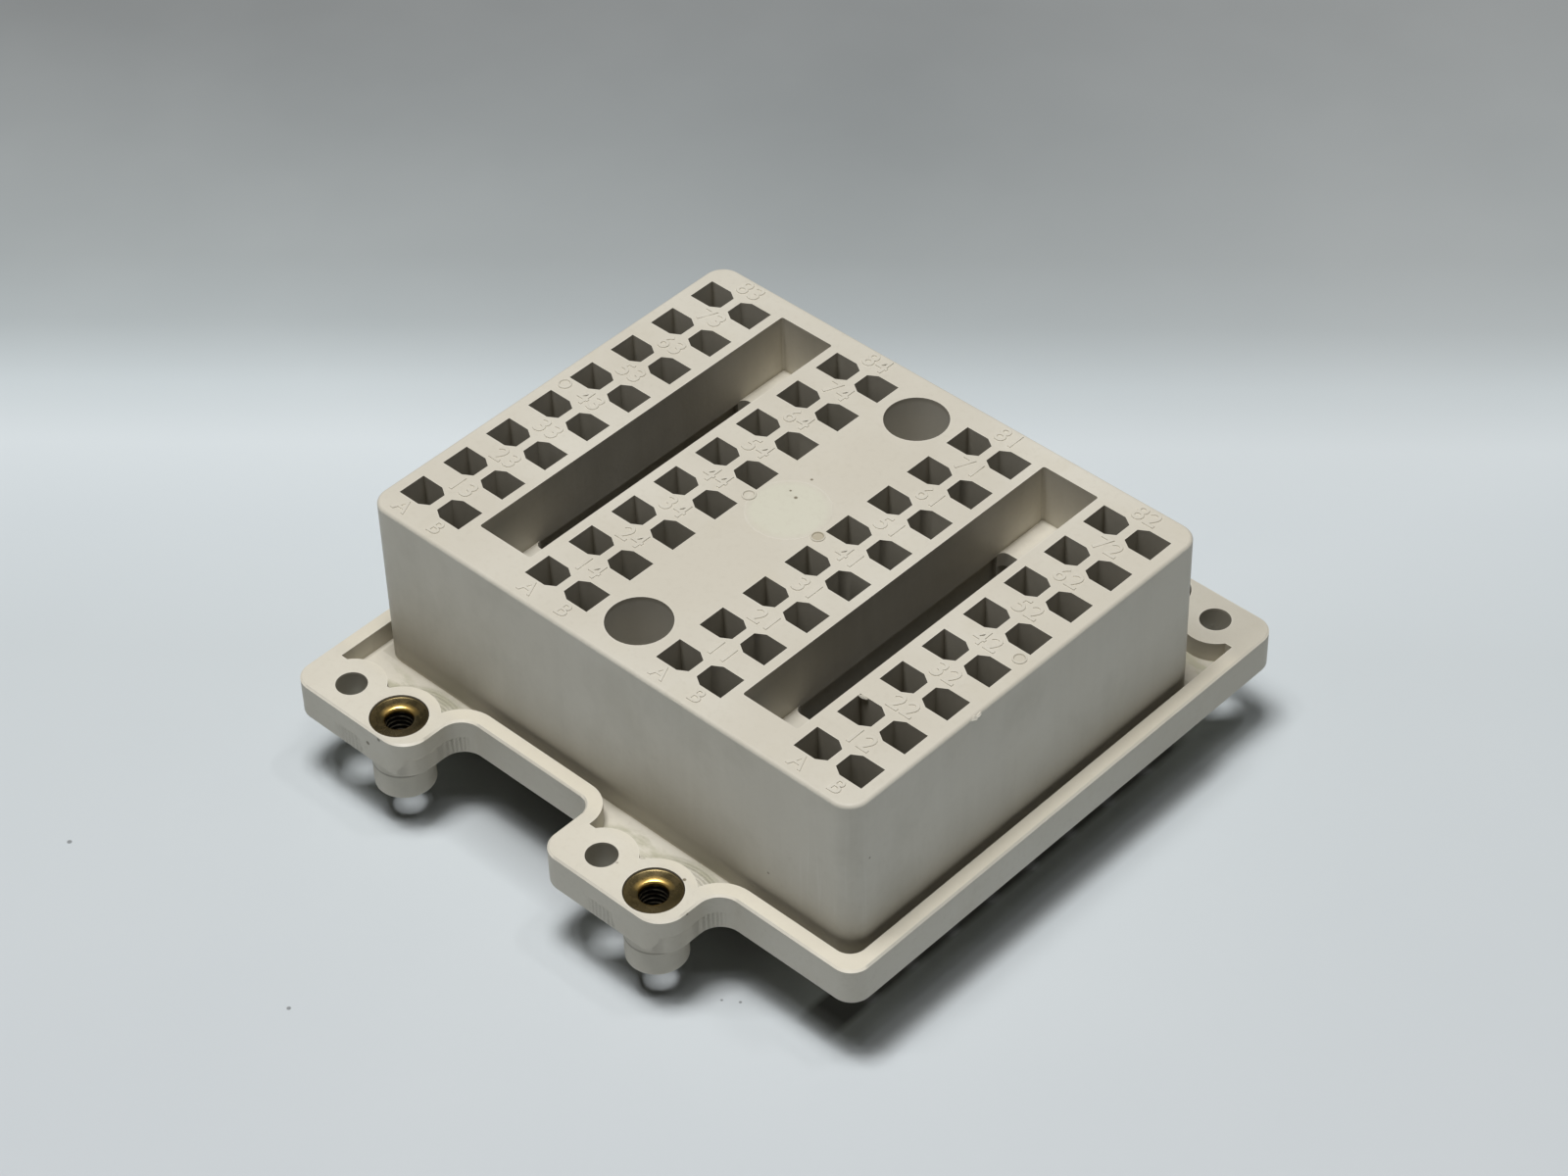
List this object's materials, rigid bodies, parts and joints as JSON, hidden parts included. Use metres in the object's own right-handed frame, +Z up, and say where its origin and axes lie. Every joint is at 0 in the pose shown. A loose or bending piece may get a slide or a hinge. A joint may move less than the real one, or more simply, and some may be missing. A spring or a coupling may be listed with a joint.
{
  "type": "relay socket",
  "caption": "Rectangular moulded relay socket block with rows of terminal pockets, long slots, a rimmed flange and brass screw inserts in its ears.",
  "frame": {"origin": "middle of the footprint, on the ground plane under the two feet", "axes": "+Z up out of the pocket mouths, +Y along the rows towards the rear ears, +X across the banks of pockets"},
  "size_m": [0.0824, 0.0848, 0.036],
  "materials": {
    "housing_plastic": "satin moulded",
    "insert_brass": "turned, tarnished"
  },
  "bodies": {
    "root": {"housing": "housing_plastic", "insert_front_left": "insert_brass", "insert_front_right": "insert_brass", "insert_rear_right": "insert_brass", "insert_rear_left": "insert_brass"}
  },
  "joints": []
}
